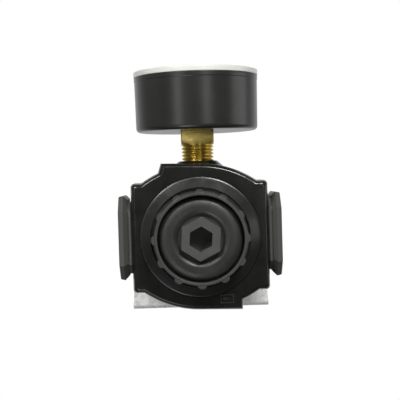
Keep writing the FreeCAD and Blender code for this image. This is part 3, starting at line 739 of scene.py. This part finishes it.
def dial_marks():
    """Printed ticks, five to each numbered division, and the thin ring that they stand on."""
    work = bmesh.new()
    printed = DIAL_FACE + 0.03
    ring_inner, ring_outer = SCALE_RING
    for i in range(TICKS + 1):
        angle = scale_angle(i / TICKS)
        inner, half = LONG_TICK if i % TICKS_A_NUMBER == 0 else SHORT_TICK
        out = Vector((math.cos(angle), math.sin(angle)))
        side = Vector((-out.y, out.x)) * half
        corners = []
        for radius, sign in ((inner, 1), (ring_inner, 1), (ring_inner, -1), (inner, -1)):
            point = out * radius + side * sign
            corners.append(work.verts.new(on_gauge(point.x, point.y, printed)))
        work.faces.new(corners)
    ring = []
    for i in range(181):
        angle = scale_angle(i / 180)
        ring.append([work.verts.new(on_gauge(r * math.cos(angle), r * math.sin(angle), printed))
                     for r in (ring_inner, ring_outer)])
    for a, b in zip(ring, ring[1:]):
        work.faces.new((a[0], b[0], b[1], a[1]))
    bmesh.ops.recalc_face_normals(work, faces=work.faces)
    return to_mesh(work, "dial_marks_mesh")


def dial_number(value):
    angle = scale_angle(value / FULL_SCALE)
    text = bpy.data.curves.new("dial_number_%d" % value, "FONT")
    text.body = str(value)
    text.size = NUMBER_SIZE * MM
    text.align_x = "CENTER"
    text.align_y = "CENTER"
    text.extrude = 0.015 * MM
    text.materials.append(BLACK_INK)
    made = bpy.data.objects.new("dial_number_%d" % value, text)
    made.location = on_gauge(NUMBER_RADIUS * math.cos(angle), NUMBER_RADIUS * math.sin(angle),
                             DIAL_FACE + 0.02)
    made.rotation_euler = (math.radians(90), 0, 0)
    bpy.context.scene.collection.objects.link(made)
    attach(made, nodes["dial"]["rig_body"])


piece("dial_marks", dial_marks(), BLACK_INK, nodes["dial"]["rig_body"])
for value in range(0, FULL_SCALE + 1, 2):
    dial_number(value)

# ---- stage, light and camera ---------------------------------------------------------------------

def floor():
    work = bmesh.new()
    bmesh.ops.create_grid(work, x_segments=8, y_segments=8, size=4.0)
    mesh = to_mesh(work, "floor_mesh")
    made = bpy.data.objects.new("floor", mesh)
    made.location = (AXIS_X, AXIS_Y, GAUGE_Z - FLOOR_DEPTH)
    s = Shade("pale_floor", (0.8, 0.8, 0.79), 0.7, specular=0.2)
    s.color(s.clouds(6, 4, (0.78, 0.78, 0.77), (0.82, 0.82, 0.81)))
    s.bump(s.noise(60, 3), 0.0002, 0.2)
    mesh.materials.append(s.mat)
    made.visible_diffuse = False
    made.visible_glossy = False
    bpy.context.scene.collection.objects.link(made)


def area_light(name, offset, width, height, power):
    """A soft rectangle of light that faces the centre and is itself unseen."""
    light = bpy.data.lights.new(name, "AREA")
    light.shape = "RECTANGLE"
    light.size = width
    light.size_y = height
    light.energy = power
    made = bpy.data.objects.new(name, light)
    made.location = CENTRE + Vector(offset)
    aim = CENTRE - made.location
    made.rotation_euler = aim.to_track_quat("-Z", "Y").to_euler()
    made.visible_camera = False
    bpy.context.scene.collection.objects.link(made)


def world():
    """A white backdrop behind the regulator, and a dim room on the camera's side."""
    made = bpy.data.worlds.new("studio")
    bpy.context.scene.world = made
    made.use_nodes = True
    tree = made.node_tree
    room = tree.nodes["Background"]
    seen = tree.nodes.new("ShaderNodeBackground")
    for shader in (room, seen):
        shader.inputs["Color"].default_value = (1.0, 1.0, 1.0, 1.0)
    seen.inputs["Strength"].default_value = 1.0
    coords = tree.nodes.new("ShaderNodeTexCoord")
    place = tree.nodes.new("ShaderNodeSeparateXYZ")
    tree.links.new(coords.outputs["Generated"], place.inputs["Vector"])
    ramp = tree.nodes.new("ShaderNodeMapRange")
    for socket, value in (("From Min", 0.2), ("From Max", 0.85), ("To Min", ROOM), ("To Max", BACKDROP)):
        ramp.inputs[socket].default_value = value
    tree.links.new(place.outputs["Z"], ramp.inputs["Value"])
    tree.links.new(ramp.outputs["Result"], room.inputs["Strength"])
    path = tree.nodes.new("ShaderNodeLightPath")
    mix = tree.nodes.new("ShaderNodeMixShader")
    tree.links.new(path.outputs["Is Camera Ray"], mix.inputs["Fac"])
    tree.links.new(room.outputs["Background"], mix.inputs[1])
    tree.links.new(seen.outputs["Background"], mix.inputs[2])
    tree.links.new(mix.outputs["Shader"], tree.nodes["World Output"].inputs["Surface"])


def camera():
    """Looks up along the valve axis from below; the gauge points to the top of the view."""
    level = Matrix((
        (math.cos(ROLL), math.sin(ROLL), 0.0),
        (math.sin(ROLL), -math.cos(ROLL), 0.0),
        (0.0, 0.0, -1.0),
    ))
    valve_axis = Vector((math.tan(LEAN_ACROSS), math.tan(LEAN_UP), -1.0)).normalized()
    tilt = Vector((0, 0, -1)).rotation_difference(valve_axis).to_matrix()
    turn = (tilt @ level).inverted()
    target = Vector((0.0, -AIM_DOWN, -DISTANCE)) * MM
    data = bpy.data.cameras.new("view_from_below")
    data.sensor_width = SENSOR
    data.lens = LENS_LENGTH
    data.clip_start = 0.01
    made = bpy.data.objects.new("view_from_below", data)
    made.matrix_world = Matrix.Translation(CENTRE - turn @ target) @ turn.to_4x4()
    bpy.context.scene.collection.objects.link(made)
    bpy.context.scene.camera = made


floor()
world()
for light in LIGHTS:
    area_light(*light)
camera()
bpy.context.scene.view_settings.view_transform = "Standard"
